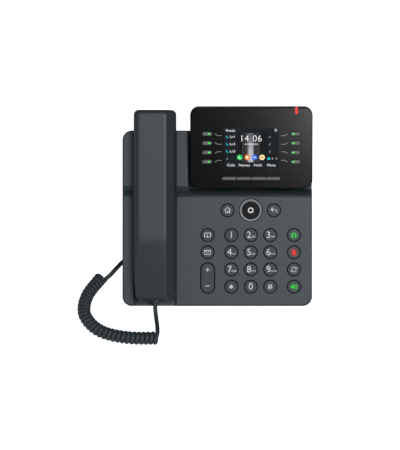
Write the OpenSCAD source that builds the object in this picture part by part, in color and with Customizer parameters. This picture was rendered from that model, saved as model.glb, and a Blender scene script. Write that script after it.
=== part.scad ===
// Desk telephone: sloping keypad housing on a rear stand, tilting screen, lift-off handset, coiled cord.
// Millimetres. X runs to the right, Y to the back, Z up; the desk is Z = 0.

/* [Housing] */
// Width of the housing, side to side
body_width = 202; // [190:1:250]
// Length of the housing measured up its slope
body_length = 187; // [175:1:230]
// Depth of the housing, square to its face
body_depth = 32; // [30:1:45]
// Height of the parting line between the two halves, below the face
parting_depth = 16; // [15:0.5:22]
// Radius of the four corners seen from the front
corner_radius = 10; // [4:0.5:20]
// Slope of the face from the desk, degrees
face_tilt = 45; // [30:1:60]
// Wall thickness of the moulded halves
wall = 2.4; // [1.6:0.1:3]
// Height of the rubber feet
foot_height = 1.5; // [1:0.1:3]

/* [Keypad] */
// Length of the raised keypad part, up the slope
keypad_length = 124; // [118:1:150]
// Radius of a round key
key_radius = 6.9; // [5:0.1:8.3]
// Spacing of the number keys across
key_pitch_x = 20.7; // [18:0.1:23]
// Spacing of the number keys up the slope
key_pitch_y = 18.3; // [17.5:0.1:20]
// Distance of the side key columns from the outer number columns
side_column = 25.3; // [20:0.1:28]
// Height of the bottom key row above the lower edge
first_row = 20.6; // [18:0.1:26]
// Height of the navigation row above the lower edge
nav_row = 102; // [98:0.5:103]
// Outer radius of the navigation ring
nav_radius = 12; // [10:0.1:14]
// How far the round keys stand above the face
key_height = 1.4; // [0.8:0.1:2.5]
// How far a key goes in
key_travel = 1; // [0.5:0.1:1.1]
// Gap around each key
key_gap = 0.35; // [0.3:0.05:0.6]

/* [Screen unit] */
// Height of the screen unit along its own face
display_height = 87.5; // [80:0.5:110]
// Depth of the screen unit
display_depth = 9; // [8.5:0.5:12]
// Tilt of the screen unit from the keypad face at rest, degrees
display_rest = 10; // [5:1:15]
// Width of the visible picture
lcd_width = 57.6; // [50:0.1:62]
// Height of the visible picture
lcd_height = 43.2; // [38:0.1:45]
// Length of a line key
line_key_length = 10.2; // [8:0.1:12]
// Width of a line key
line_key_width = 4; // [3:0.1:5]
// Spacing of the line keys
line_key_pitch = 10; // [8.5:0.1:10.5]
// Width of each soft key
soft_key_pitch = 15.75; // [12:0.05:17]

/* [Handset] */
// Length of the handset
handset_length = 202; // [190:1:250]
// Width of the handset
handset_width = 45.4; // [40:0.1:46]
// Distance of the handset's centre line from the housing's left side
handset_inset = 34.8; // [34:0.1:36]
// Height of the handset's outer face above the housing's face
handset_height = 25; // [22:0.5:30]
// Height of the handle's underside above the housing's face
grip_height = 6; // [4:0.5:7]
// How far the handset lifts off its cradle
handset_lift = 60; // [40:1:90]
// Depth of the cradle channel
channel_depth = 8; // [7:0.5:8.5]

/* [Cord] */
// Diameter of the cord
cord_diameter = 4.6; // [3:0.1:5]
// Outer diameter of the coil
coil_diameter = 13.6; // [11:0.1:16]

/* [Hidden] */

back_z = -body_depth;
part_z = -parting_depth;
lift = foot_height + parting_depth * cos(face_tilt);
ct = cos(face_tilt);
st = sin(face_tilt);
side = body_width / 2;
// the lower front edge sits this far in front of the origin, which is the middle of the whole footprint
handset_foot = 6.6;
foot_thickness = handset_height - 9;
front_y = -((body_length + handset_foot) * ct + (body_depth - foot_thickness) * st) / 2;
handset_x = handset_inset - side;
display_gap = 1.3;
deck_left = handset_x + handset_width / 2 + 13.5;
display_left = deck_left + display_gap;
display_width = side - display_left;
display_x = display_left + display_width / 2;
deck_z = -12;
channel_half = handset_width / 2 - 0.5;
channel_floor = -channel_depth;
// keypad columns and rows
number_x = [for (c = [-1:1]) display_x - 0.5 + c * key_pitch_x];
side_x = [number_x[0] - side_column, number_x[2] + side_column];
row_y = [for (r = [0:3]) first_row + r * key_pitch_y];
nav_x = number_x[1];
nav_side = 24.7;
rocker_length = key_pitch_y + 2 * key_radius + 0.5;
rocker_width = 2 * key_radius + 1;
rocker_y = row_y[0] + key_pitch_y / 2;
key_flange = min(1, key_pitch_y / 2 - key_radius - 0.2);
flange_top = -wall - 0.6;
flange_depth = 1.2;
mat_top = flange_top - flange_depth - key_travel - 0.4;
mat_depth = 1.6;
board_depth = 1.6;
// screen unit, in its own frame with the hinge axis as origin
hinge_radius = 4.2;
ear_radius = 4.5;
hinge_pin_radius = 2;
hinge_y = keypad_length + 15.2;
hinge_z = deck_z + ear_radius + 0.5;
display_low = -12;
display_back_z = ear_radius + 1;
display_face_z = display_back_z + display_depth;
bezel_depth = 5;
bezel_wall = 1.6;
lcd_low = display_low + display_height / 2;
line_key_x = display_width / 2 - 17.85;
knuckle_x = 30;
knuckle_width = 12;
ear_width = 6;
lamp_x = line_key_x + 1;
// handset, measured up the housing's slope
handset_top = handset_foot + handset_length;
handset_bend = handset_foot + 0.32 * handset_length;
mouth_length = 36;
ear_start = handset_top - 58;
cup_floor = channel_floor + 0.6;
cup_half = channel_half - 0.9;
grip_parting = grip_height + 4;
handset_socket_z = 5;
hook_y = ear_start + 14;
hook_travel = 3;
// rear of the housing
bay = [[25 - side, 42], [44, 76]];
bay_z = back_z + 13.6;
jack_pitch = 20;
screw_x = side - 6.5;
screw_y = [30, body_length - 12];
speaker_at = [70, 58];
speaker_radius = 19;
stand_low = 90;
stand_high = 128;
stand_width = 120;
stand_reach = front_y + 142;
stand_plate = 3.5;
// the cord's way, as round points measured from the housing's lower left corner
coil_z = coil_diameter / 2 + 0.1;
coil_points = [[-23, 48], [-38, 20], [-40, -8], [-24, -31], [4, -41], [36, -42]];
base_points = [[40, 57, 32], [35, 58.5, 24], [21, 61, 20], [0, 62, 17], [-13, 58, 11]];
handset_points = [[34.5, -8, 13], [34.2, -20, 9.8], [34, -28, 9.6]];
function placed(p) = [-side + p[0], front_y + p[1], len(p) > 2 ? p[2] : coil_z];
coil_way = [for (p = coil_points) placed(p)];
base_way = [for (p = base_points) placed(p)];
handset_way = [for (p = handset_points) placed(p)];

// world place of a point on the slope: y up the face, z out of it
function slope(y, z) = [front_y + y * ct - z * st, y * st + z * ct + lift];

// a smooth curve through points p, with n steps to each span
function at(p, i) = p[max(0, min(len(p) - 1, i))];
function curve(p, n) = [for (i = [0:len(p) - 2], s = [0:n - 1])
    let (a = at(p, i - 1), b = at(p, i), c = at(p, i + 1), d = at(p, i + 2), t = s / n)
    0.5 * ((2 * b) + (c - a) * t + (2 * a - 5 * b + 4 * c - d) * t * t + (3 * b - a - 3 * c + d) * t * t * t)];
function run(p, n) = concat(curve(p, n), [p[len(p) - 1]]);
function unit(v) = v / norm(v);
function ring(p, i, r, sides) =
    let (t = unit(at(p, i + 1) - at(p, i - 1)), u = unit(cross([0, 0, 1], t)), v = cross(t, u))
    [for (k = [0:sides - 1]) at(p, i) + r * (cos(360 * k / sides) * u + sin(360 * k / sides) * v)];

module tube(p, r, sides) {
    n = len(p);
    points = [for (i = [0:n - 1]) each ring(p, i, r, sides)];
    faces = concat([[for (k = [0:sides - 1]) k]], [[for (k = [0:sides - 1]) n * sides - 1 - k]],
        [for (i = [0:n - 2], k = [0:sides - 1]) let (a = i * sides + k, b = i * sides + (k + 1) % sides)
            each [[a, a + sides, b + sides], [a, b + sides, b]]]);
    polyhedron(points, faces);
}

module on_slope() { translate([0, front_y, lift]) rotate([face_tilt, 0, 0]) children(); }
module on_display() {
    on_slope() translate([display_x, hinge_y, hinge_z]) rotate([display_rest, 0, 0]) children();
}
module on_handset() { on_slope() translate([handset_x, 0, 0]) children(); }
// a side profile given as (y, z) points or shapes, run across from x0 to x1
module across(x0, x1) { translate([x0, 0, 0]) rotate([90, 0, 90]) linear_extrude(x1 - x0) children(); }
module rounded(w, h, r) {
    square([w - 2 * r, h], center = true);
    square([w, h - 2 * r], center = true);
    for (sx = [-1, 1], sy = [-1, 1]) translate([sx * (w / 2 - r), sy * (h / 2 - r)]) circle(r, $fn = 64);
}
module pill(w, h) {
    square([w - h, h], center = true);
    for (s = [-1, 1]) translate([s * (w - h) / 2, 0]) circle(h / 2, $fn = 48);
}
module layer(z0, z1) { translate([0, 0, z0]) linear_extrude(z1 - z0) children(); }
module outline(inset = 0) {
    translate([0, body_length / 2])
        rounded(body_width - 2 * inset, body_length - 2 * inset, corner_radius - inset);
}
module block(x0, x1, y0, y1, z0, z1) { translate([x0, y0, z0]) cube([x1 - x0, y1 - y0, z1 - z0]); }
module above(z) { translate([-400, -400, z]) cube([800, 800, 400]); }

// ---- housing ----
roll = 10;
groove_y = keypad_length - 2;
module keypad_cavity() {
    y = keypad_length - roll;
    intersection() {
        layer(part_z - 0.1, 0) outline(wall);
        across(handset_x + channel_half + wall, side) union() {
            translate([wall, part_z - 0.1]) square([y - wall, parting_depth + 0.1 - wall]);
            translate([y - 0.1, part_z - 0.1]) square([roll - wall + 0.1, parting_depth + 0.1 - roll]);
            translate([y, -roll]) circle(roll - wall, $fn = 64);
        }
    }
}
module cradle_cavities() {
    lower = [wall + 6, groove_y - 9];
    upper = [groove_y + 9, body_length - wall - 6];
    for (s = [lower, upper])
        block(-side + wall, handset_x - channel_half - wall, s[0], s[1], part_z - 0.1, -wall);
    block(handset_x + channel_half + wall, deck_left - wall, upper[0], upper[1], part_z - 0.1, -wall);
    block(handset_x - channel_half, handset_x + channel_half, wall, body_length - wall,
        part_z - 0.1, channel_floor - wall);
    intersection() {
        layer(part_z - 0.1, deck_z - wall) outline(wall);
        block(-side, side, wall, body_length - wall, part_z - 0.1, deck_z - wall);
    }
}
module round_key_places() {
    for (x = number_x, y = row_y) translate([x, y]) children();
    for (y = row_y) translate([side_x[1], y]) children();
    for (r = [2, 3]) translate([side_x[0], row_y[r]]) children();
    for (s = [-1, 1]) translate([nav_x + s * nav_side, nav_row]) children();
}
module keypad_posts(r) {
    for (x = [(number_x[0] + side_x[0]) / 2, (number_x[2] + side_x[1]) / 2], k = [0, 2])
        translate([x, row_y[k] + key_pitch_y / 2]) circle(r, $fn = 32);
}
module front_housing() color("#4a5053") on_slope() difference() {
    union() {
        difference() {
            layer(part_z, 0) outline();
            block(deck_left, side + 1, keypad_length, body_length + 1, deck_z, 1);
            across(deck_left, side + 1) difference() {
                translate([keypad_length - roll, -roll]) square([roll + 0.01, roll + 1]);
                translate([keypad_length - roll, -roll]) circle(roll, $fn = 64);
            }
            across(-side - 1, deck_left + 0.01)
                polygon([[groove_y - 5.5, 0.01], [groove_y + 5.5, 0.01], [groove_y + 1, -3.5], [groove_y - 1, -3.5]]);
            block(handset_x - channel_half, handset_x + channel_half, -1, body_length + 1, channel_floor, 1);
            keypad_cavity();
            cradle_cavities();
        }
        for (k = [-1, 1], e = [-1, 1])
            translate([display_x + k * knuckle_x + e * (knuckle_width / 2 + 0.4 + ear_width / 2), hinge_y, 0]) {
                block(-ear_width / 2, ear_width / 2, -ear_radius, ear_radius, deck_z - 0.1, hinge_z);
                translate([-ear_width / 2, 0, hinge_z]) rotate([0, 90, 0]) cylinder(r = ear_radius, h = ear_width, $fn = 64);
            }
        for (x = [-1, 1], y = screw_y) translate([x * screw_x, y])
            layer(back_z + wall + 2.2, (x > 0 && y > keypad_length ? deck_z - wall : -wall) + 0.1) circle(3.4, $fn = 48);
        layer(mat_top - mat_depth, -wall + 0.1) keypad_posts(2);
    }
    layer(-wall - 1, 1) round_key_places() circle(key_radius + key_gap, $fn = 64);
    layer(-wall - 1, 1) translate([nav_x, nav_row]) circle(nav_radius + key_gap, $fn = 64);
    layer(-wall - 1, 1) translate([side_x[0], rocker_y]) rotate(90)
        pill(rocker_length + 2 * key_gap, rocker_width + 2 * key_gap);
    layer(channel_floor - wall - 1, 1) translate([handset_x, hook_y]) square([8.8, 5.8], center = true);
    for (x = [-1, 1], y = screw_y) translate([x * screw_x, y, 0])
        layer(back_z, back_z + 15) circle(1.45, $fn = 32);
    for (k = [-1, 1]) translate([display_x + k * knuckle_x, hinge_y, hinge_z]) rotate([0, 90, 0])
        cylinder(r = hinge_pin_radius + 0.05, h = 3 * knuckle_width, center = true, $fn = 48);
}

module bay_box(grow) {
    block(bay[0][0] - grow, bay[1][0] + grow, bay[0][1] - grow, bay[1][1] + grow, back_z - 1, bay_z + grow);
}
function jack_x(i) = bay[0][0] + 16 + i * jack_pitch;
module rear_housing() color("#3d4245") difference() {
    intersection() {
        on_slope() layer(back_z, part_z) outline();
        above(foot_height);
    }
    difference() {
        intersection() {
            on_slope() layer(back_z + wall, part_z + 0.1) outline(wall);
            above(foot_height + wall);
        }
        on_slope() {
            bay_box(wall);
            for (x = [-1, 1], y = screw_y) translate([x * screw_x, y])
                layer(back_z, back_z + wall + 2) circle(5.5, $fn = 48);
            for (x = [-1, 1], y = [100, body_length - 22]) translate([x * 78, y])
                layer(back_z, part_z - 0.9) circle(2.5, $fn = 32);
        }
    }
    on_slope() {
        bay_box(0);
        for (i = [0, 1]) block(jack_x(i) - 5.7, jack_x(i) + 5.7, bay[1][1] - 1, bay[1][1] + wall + 1,
            part_z - 12.9, part_z - 0.7);
        block(jack_x(2) - 8.2, jack_x(3) + 8.2, bay[1][1] - 1, bay[1][1] + wall + 1, part_z - 13.4, part_z - 0.7);
        for (x = [-1, 1], y = screw_y) translate([x * screw_x, y]) {
            layer(back_z - 1, back_z + wall + 3) circle(1.7, $fn = 32);
            layer(back_z - 1, back_z + 2.1) circle(3.1, $fn = 48);
        }
        for (k = [-2:2]) translate([speaker_at[0], speaker_at[1] + 5 * k])
            layer(back_z - 1, back_z + wall + 1) pill(26 - 4 * abs(k), 2);
        for (s = [-1, 1]) {
            layer(back_z - 1, back_z + wall + 1) translate([s * 35, 112]) square([10.6, 6.6], center = true);
            layer(back_z - 1, back_z + wall + 1) translate([s * 40, 150]) {
                circle(4, $fn = 48);
                translate([0, 5]) rotate(90) pill(10, 4);
            }
        }
    }
}

module stand() color("#33383b") union() {
    difference() {
        across(-stand_width / 2, stand_width / 2) union() {
            polygon([slope(stand_low, back_z), slope(stand_high, back_z), slope(stand_high, back_z - stand_plate),
                slope(stand_low, back_z - stand_plate)]);
            polygon([slope(stand_high, back_z), [stand_reach + stand_plate, foot_height],
                [stand_reach, foot_height], slope(stand_high - 6, back_z - stand_plate)]);
            translate([stand_reach - 7, foot_height]) square([7 + stand_plate, 3]);
        }
        translate([0, stand_reach, 38]) cube([stand_width - 44, 80, 34], center = true);
    }
    for (s = [-1, 1]) across(s * (stand_width / 2 - 10) - 1.5, s * (stand_width / 2 - 10) + 1.5)
        polygon([slope(stand_low + 2, back_z - stand_plate + 0.1), slope(stand_high - 4, back_z - stand_plate + 0.1),
            [stand_reach + 0.5, foot_height + 2], [stand_reach - 6.9, foot_height + 2]]);
    on_slope() for (s = [-1, 1]) translate([s * 35, 112])
        layer(back_z - 1, back_z + wall + 1) square([10, 6], center = true);
}
module rubber_feet() color("#17191a") {
    y0 = slope(0, part_z)[0] + 3;
    for (s = [-1, 1]) {
        block(s * (side - 25) - 8, s * (side - 25) + 8, y0, y0 + 11, 0, foot_height);
        block(s * (stand_width / 2 - 12) - 8, s * (stand_width / 2 - 12) + 8,
            stand_reach - 6.5, stand_reach + 3, 0, foot_height);
    }
}
module housing_screws() color("#b9bcbe") on_slope() for (x = [-1, 1], y = screw_y) translate([x * screw_x, y]) {
    difference() {
        layer(back_z + 0.3, back_z + 2.1) circle(2.8, $fn = 48);
        for (a = [0, 90]) rotate(a) block(-1.7, 1.7, -0.35, 0.35, back_z, back_z + 1.1);
    }
    layer(back_z + 2, back_z + 14) circle(1.4, $fn = 32);
}
module main_board() color("#1f5b3a") on_slope() difference() {
    layer(part_z - 0.9, part_z - 0.9 + board_depth)
        translate([0, (80 + body_length - 10) / 2]) square([176, body_length - 90], center = true);
    layer(part_z - 2, part_z + 2) translate([handset_x, hook_y]) circle(3, $fn = 32);
}
module keypad_sheet(z0, z1, hole) {
    x0 = side_x[0] - key_radius - 2.5;
    x1 = side_x[1] + key_radius + 0.6;
    difference() {
        block(x0, x1, 8, nav_row + nav_radius - 3, z0, z1);
        layer(z0 - 1, z1 + 1) keypad_posts(hole);
    }
}
module keypad_board() color("#1f5b3a") on_slope()
    keypad_sheet(mat_top - mat_depth - board_depth, mat_top - mat_depth, 0.8);
module keypad_mat() color("#8d9396") on_slope() difference() {
    keypad_sheet(mat_top - mat_depth, mat_top, 2.2);
    layer(mat_top - mat_depth - 1, mat_top - mat_depth + 0.8) round_key_places() circle(2.6, $fn = 32);
}
module loudspeaker() color("#2a2a2a") on_slope() translate([speaker_at[0], speaker_at[1], 0]) union() {
    difference() {
        layer(back_z + wall, back_z + wall + 4) circle(speaker_radius, $fn = 72);
        translate([0, 0, back_z + wall - 0.1]) cylinder(r1 = speaker_radius - 2, r2 = 7, h = 3, $fn = 72);
    }
    layer(back_z + wall + 3.9, back_z + wall + 9) circle(9, $fn = 64);
}
module network_jacks() color("#c2c5c7") on_slope() difference() {
    block(jack_x(2) - 8, jack_x(3) + 8, bay[1][1] + 0.2, bay[1][1] + 20, part_z - 13.2, part_z - 0.9);
    for (i = [2, 3]) {
        block(jack_x(i) - 5.9, jack_x(i) + 5.9, bay[1][1], bay[1][1] + 13, part_z - 11, part_z - 4);
        block(jack_x(i) - 3, jack_x(i) + 3, bay[1][1], bay[1][1] + 13, part_z - 4.1, part_z - 2.4);
    }
}
plug_width = 7.6;
plug_height = 6.4;
cord_jack_z = part_z - 7;
module cord_jacks() color("#26292b") on_slope() for (i = [0, 1]) difference() {
    block(jack_x(i) - 5.5, jack_x(i) + 5.5, bay[1][1] + 0.2, bay[1][1] + 15, part_z - 12.7, part_z - 0.9);
    block(jack_x(i) - plug_width / 2 - 0.25, jack_x(i) + plug_width / 2 + 0.25, bay[1][1], bay[1][1] + 10.5,
        cord_jack_z - plug_height / 2 - 0.25, cord_jack_z + plug_height / 2 + 0.25);
}

// ---- keys ----
module round_key(r, top) {
    layer(flange_top - 0.1, top - 0.6) circle(r, $fn = 64);
    translate([0, 0, top - 0.6]) cylinder(r1 = r, r2 = r - 0.6, h = 0.6, $fn = 64);
    layer(flange_top - flange_depth, flange_top) circle(r + key_flange, $fn = 64);
}
module key_at(x, y) color("#565b5e") on_slope() translate([x, y]) round_key(key_radius, key_height);
module number_key(col, row) { key_at(number_x[col], row_y[row]); }
module nav_ring() color("#8b9092") on_slope() translate([nav_x, nav_row]) difference() {
    union() {
        layer(flange_top - 0.3, key_height - 0.5) circle(nav_radius, $fn = 96);
        translate([0, 0, key_height - 0.5]) cylinder(r1 = nav_radius, r2 = nav_radius - 0.5, h = 0.5, $fn = 96);
        layer(flange_top - 0.2 - flange_depth, flange_top - 0.2) circle(nav_radius + key_flange, $fn = 96);
    }
    layer(flange_top - 5, key_height + 1) circle(nav_radius - 2.2, $fn = 96);
}
module key_ok() color("#141414") on_slope() translate([nav_x, nav_row]) {
    layer(flange_top - flange_depth, key_height - 0.9) circle(nav_radius - 2.6, $fn = 96);
    translate([0, 0, key_height - 0.9]) cylinder(r1 = nav_radius - 2.6, r2 = nav_radius - 3, h = 0.4, $fn = 96);
}
module volume_rocker() color("#565b5e") on_slope() translate([side_x[0], rocker_y]) rotate(90) {
    layer(flange_top - 0.5, key_height) pill(rocker_length, rocker_width);
    layer(flange_top - flange_depth - 0.3, flange_top - 0.5) pill(rocker_length + 1.6 * key_flange, rocker_width + 1.6 * key_flange);
}

// ---- screen unit ----
module display_outline(inset = 0) {
    translate([0, display_low + display_height / 2])
        rounded(display_width - 2 * inset, display_height - 2 * inset, 8.8 - inset);
}
module line_key_places() {
    for (s = [-1, 1], k = [0:3]) translate([s * line_key_x, line_key_y(k)]) children();
}
function line_key_y(k) = lcd_low + 0.4 + (1.5 - k) * line_key_pitch;
soft_key_y = display_low + 11.1;
soft_key_height = 3.2;
soft_key_gap = 0.7;
module lamp_shape(grow) {
    translate([lamp_x, display_low + display_height - 3.6]) square([2.9 + 2 * grow, 7.8 + 2 * grow], center = true);
}
module display_bezel() color("#121212") on_display() difference() {
    layer(display_face_z - bezel_depth, display_face_z) display_outline();
    layer(display_face_z - bezel_depth - 1, display_face_z - bezel_wall) display_outline(2);
    layer(display_face_z - 3, display_face_z + 1) {
        translate([0, lcd_low]) square([lcd_width, lcd_height], center = true);
        line_key_places() pill(line_key_length + 0.6, line_key_width + 0.6);
        translate([0, soft_key_y]) pill(4 * soft_key_pitch, soft_key_height + 0.7);
    }
    layer(display_face_z - bezel_depth - 1, display_face_z + 1) lamp_shape(0.1);
}
module display_back() color("#1d1f20") on_display() difference() {
    union() {
        difference() {
            layer(display_back_z, display_face_z - bezel_depth) display_outline();
            layer(display_back_z + 2, display_face_z) display_outline(2);
        }
        for (k = [-1, 1]) translate([k * knuckle_x - knuckle_width / 2, 0, 0]) {
            rotate([0, 90, 0]) cylinder(r = hinge_radius, h = knuckle_width, $fn = 64);
            block(0, knuckle_width, -3.5, 3.5, 0, display_back_z + 0.1);
        }
        for (x = [-1, 1], y = [-1, 1]) translate([x * (lcd_width / 2 + 1), lcd_low + y * (lcd_height / 2 + 0.5)])
            layer(display_back_z + 1.9, display_face_z - bezel_wall - 2.5) circle(2, $fn = 32);
    }
    for (k = [-1, 1]) translate([k * knuckle_x, 0, 0]) rotate([0, 90, 0])
        cylinder(r = hinge_pin_radius + 0.06, h = 2 * knuckle_width, center = true, $fn = 48);
}
module lcd_panel() color("#5b6b78") on_display() translate([0, lcd_low])
    layer(display_face_z - bezel_wall - 2.5, display_face_z - bezel_wall) square([lcd_width + 7, lcd_height + 5], center = true);
module message_lamp() color("#e0332c") on_display() layer(display_face_z - bezel_depth, display_face_z + 0.2) lamp_shape(0);
module display_hinge_pins() color("#9a9da0") on_slope() for (k = [-1, 1])
    translate([display_x + k * knuckle_x, hinge_y, hinge_z]) rotate([0, 90, 0])
        cylinder(r = hinge_pin_radius, h = knuckle_width + 0.8 + 2 * ear_width, center = true, $fn = 48);
module line_key(i) color("#6a7073") on_display()
    translate([(i < 4 ? -1 : 1) * line_key_x, line_key_y(i % 4)]) {
        layer(display_face_z - bezel_wall - 0.5, display_face_z + 0.5) pill(line_key_length, line_key_width);
        layer(display_face_z - bezel_wall - 1.2, display_face_z - bezel_wall - 0.4)
            pill(line_key_length + 1.4, line_key_width + 1.4);
    }
module soft_key(i) color("#6a7073") on_display() translate([(i - 1.5) * soft_key_pitch, soft_key_y]) {
    end = i == 0 ? -1 : i == 3 ? 1 : 0;
    w = soft_key_pitch - soft_key_gap;
    trim = end == 0 ? 0 : soft_key_height / 2;
    layer(display_face_z - bezel_wall - 1.2, display_face_z + 0.4) {
        translate([-end * trim / 2, 0]) square([w - trim, soft_key_height], center = true);
        if (end != 0) translate([end * (w / 2 - trim), 0]) circle(soft_key_height / 2, $fn = 48);
    }
    layer(display_face_z - bezel_wall - 1.2, display_face_z - bezel_wall - 0.4)
        square([w, soft_key_height + 1.8], center = true);
}

// ---- handset ----
// cross-section of the outer face, taken in by g
module grip_section(g) {
    h = handset_width / 2 - g;
    top = handset_height - g;
    polygon([[-h, -20], [-h, top - 7], [-h + 1.6, top - 4], [-h + 4.7, top], [h - 11.4, top],
        [h - 2, top - 6], [h, top - 13], [h, -20]]);
}
module grip_profile(g) {
    top = handset_height - g;
    polygon([[handset_foot + g, -20], [handset_foot + g, foot_thickness - g], [handset_bend, top], [handset_top - g - 6, top],
        [handset_top - g, top - 4], [handset_top - g, -20]]);
}
module handset_plan(g) {
    translate([0, handset_foot + handset_length / 2])
        rounded(handset_width - 2 * g, handset_length - 2 * g, 5.3 - g);
}
module grip_form(g, z0, z1) {
    intersection() {
        translate([0, handset_top + 10, 0]) rotate([90, 0, 0]) linear_extrude(handset_length + 20) grip_section(g);
        across(-handset_width, handset_width) grip_profile(g);
        layer(z0, z1) handset_plan(g);
    }
}
module handset_grip() color("#484d50") on_handset() difference() {
    grip_form(0, grip_parting, handset_height + 1);
    grip_form(2, grip_parting - 1, handset_height + 1);
}
module handle_gap(g) {
    block(-handset_width, handset_width, handset_foot + mouth_length - g, ear_start + g, -20, grip_height + g);
}
module handset_cups() color("#34393c") on_handset() difference() {
    difference() {
        union() {
            grip_form(0, 0.8, grip_parting);
            intersection() {
                grip_form(0, cup_floor, 1);
                block(-cup_half, cup_half, 0, handset_top - 1.5, cup_floor, 1);
            }
        }
        handle_gap(0);
    }
    difference() {
        union() {
            grip_form(2, 0.8 + 2, grip_parting + 1);
            block(-cup_half + 2, cup_half - 2, handset_foot + 2, handset_top - 3.5, cup_floor + 2, 4);
        }
        handle_gap(2);
        block(-6, 6, handset_foot, handset_foot + 13, -20, 1.5);
    }
    block(-plug_width / 2 - 0.25, plug_width / 2 + 0.25, handset_foot - 1, handset_foot + 14,
        handset_socket_z - plug_height / 2 - 0.25, handset_socket_z + plug_height / 2 + 0.25);
    translate([0, ear_centre, 0]) layer(cup_floor - 1, cup_floor + 3) {
        circle(0.8, $fn = 24);
        for (a = [0:60:300]) rotate(a) translate([4.5, 0]) circle(0.8, $fn = 24);
    }
    translate([0, mouth_centre, 0]) layer(cup_floor - 1, cup_floor + 3) pill(7, 1.4);
}
ear_centre = handset_top - 27;
mouth_centre = handset_foot + mouth_length - 12;
module handset_receiver() color("#2b2b2b") on_handset() translate([0, ear_centre, 0]) {
    layer(cup_floor + 2, cup_floor + 6) circle(15, $fn = 72);
    layer(cup_floor + 5.9, cup_floor + 9) circle(9, $fn = 64);
}
module handset_microphone() color("#2b2b2b") on_handset() translate([0, mouth_centre, 0])
    layer(cup_floor + 2, cup_floor + 5) circle(4.8, $fn = 48);
module hook_switch() color("#26292b") on_slope() translate([handset_x, hook_y]) {
    layer(part_z + 1.4, cup_floor - 0.35) square([8, 5], center = true);
    layer(part_z + 1.3, channel_floor - wall - hook_travel - 0.2) square([12, 9], center = true);
}

// ---- cord ----
module plug(length) {
    block(-plug_width / 2, plug_width / 2, 0, length, -plug_height / 2, plug_height / 2);
}
plug_out = 3;
module cord_plug_base() color("#2f3436") on_slope()
    translate([jack_x(0), bay[1][1] - plug_out, cord_jack_z]) plug(13);
module cord_plug_handset() color("#2f3436") on_handset()
    translate([0, handset_foot - plug_out, handset_socket_z]) plug(13);
cord_gap = 0.6;
base_end = let (p = slope(bay[1][1] - plug_out - cord_gap, cord_jack_z)) [jack_x(0), p[0], p[1]];
handset_end = let (p = slope(handset_foot - plug_out - cord_gap, handset_socket_z)) [handset_x, p[0], p[1]];
coil_side = unit([0, 14, 3.2]);
module cord_leads() color("#2c3133") {
    coil_out = unit(coil_way[0] - coil_way[1]);
    tube(run(concat([base_end, base_end - [0, 4 * ct, 4 * st]], base_way, [coil_way[0] + 2 * cord_gap * coil_out]), 2),
        cord_diameter / 2, 10);
    meet = [handset_way[2][0], coil_way[5][1], coil_z] + (coil_diameter / 2 + 3 * cord_gap) * coil_side;
    tube(run(concat([handset_end, handset_end - [0, 3 * ct, 3 * st]], handset_way, [meet]), 2),
        cord_diameter / 2, 10);
}
module cord_coil() color("#2c3133") tube(run(coil_way, 4), coil_diameter / 2, 12);

front_housing();
rear_housing();
stand();
rubber_feet();
housing_screws();
main_board();
keypad_board();
keypad_mat();
loudspeaker();
network_jacks();
cord_jacks();
hook_switch();
display_bezel();
display_back();
lcd_panel();
message_lamp();
display_hinge_pins();
handset_grip();
handset_cups();
handset_receiver();
handset_microphone();
cord_plug_base();
cord_plug_handset();
cord_leads();
cord_coil();
key_at(nav_x - nav_side, nav_row);  // key_home
key_at(nav_x + nav_side, nav_row);  // key_back
key_ok();
nav_ring();
volume_rocker();
key_at(side_x[0], row_y[3]);  // key_phonebook
key_at(side_x[0], row_y[2]);  // key_messages
key_at(side_x[1], row_y[3]);  // key_headset
key_at(side_x[1], row_y[2]);  // key_mute
key_at(side_x[1], row_y[1]);  // key_redial
key_at(side_x[1], row_y[0]);  // key_speaker
number_key(0, 0);  // key_star
number_key(1, 0);  // key_0
number_key(2, 0);  // key_hash
for (k = [1:9]) number_key((k - 1) % 3, 3 - floor((k - 1) / 3));
for (k = [1:8]) line_key(k - 1);
for (k = [1:4]) soft_key(k - 1);
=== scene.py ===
"""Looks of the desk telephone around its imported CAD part."""
import math

import bmesh
import bpy
from mathutils import Matrix, Vector
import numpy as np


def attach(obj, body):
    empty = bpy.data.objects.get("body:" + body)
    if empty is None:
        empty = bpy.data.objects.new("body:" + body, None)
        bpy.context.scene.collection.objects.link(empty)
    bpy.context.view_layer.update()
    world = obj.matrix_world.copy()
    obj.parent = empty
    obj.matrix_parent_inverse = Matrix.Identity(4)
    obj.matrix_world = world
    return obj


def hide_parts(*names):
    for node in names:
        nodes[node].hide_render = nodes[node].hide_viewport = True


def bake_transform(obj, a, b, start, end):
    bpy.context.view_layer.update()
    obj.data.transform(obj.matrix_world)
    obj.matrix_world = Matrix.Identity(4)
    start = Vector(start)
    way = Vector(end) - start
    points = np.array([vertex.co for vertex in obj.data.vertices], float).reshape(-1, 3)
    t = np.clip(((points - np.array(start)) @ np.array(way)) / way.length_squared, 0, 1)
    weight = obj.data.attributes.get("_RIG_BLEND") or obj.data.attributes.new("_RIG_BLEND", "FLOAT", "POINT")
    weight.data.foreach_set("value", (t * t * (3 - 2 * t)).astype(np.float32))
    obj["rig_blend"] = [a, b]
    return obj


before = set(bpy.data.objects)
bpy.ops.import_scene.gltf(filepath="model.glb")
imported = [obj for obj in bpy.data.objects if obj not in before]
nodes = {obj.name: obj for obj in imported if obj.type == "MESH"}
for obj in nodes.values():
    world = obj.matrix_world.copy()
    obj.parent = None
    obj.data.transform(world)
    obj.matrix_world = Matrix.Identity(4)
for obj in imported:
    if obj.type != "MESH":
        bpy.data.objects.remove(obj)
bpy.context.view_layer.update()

# ---- the three drawing frames, in millimetres ----
MM = 0.001
LEAN = math.radians(45)
DISPLAY_LEAN = math.radians(10)
HOUSING_WIDTH, HOUSING_LENGTH = 202, 187
LEFT, FRONT, FACE_FOOT = -HOUSING_WIDTH / 2, -74.105, 12.814
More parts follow.
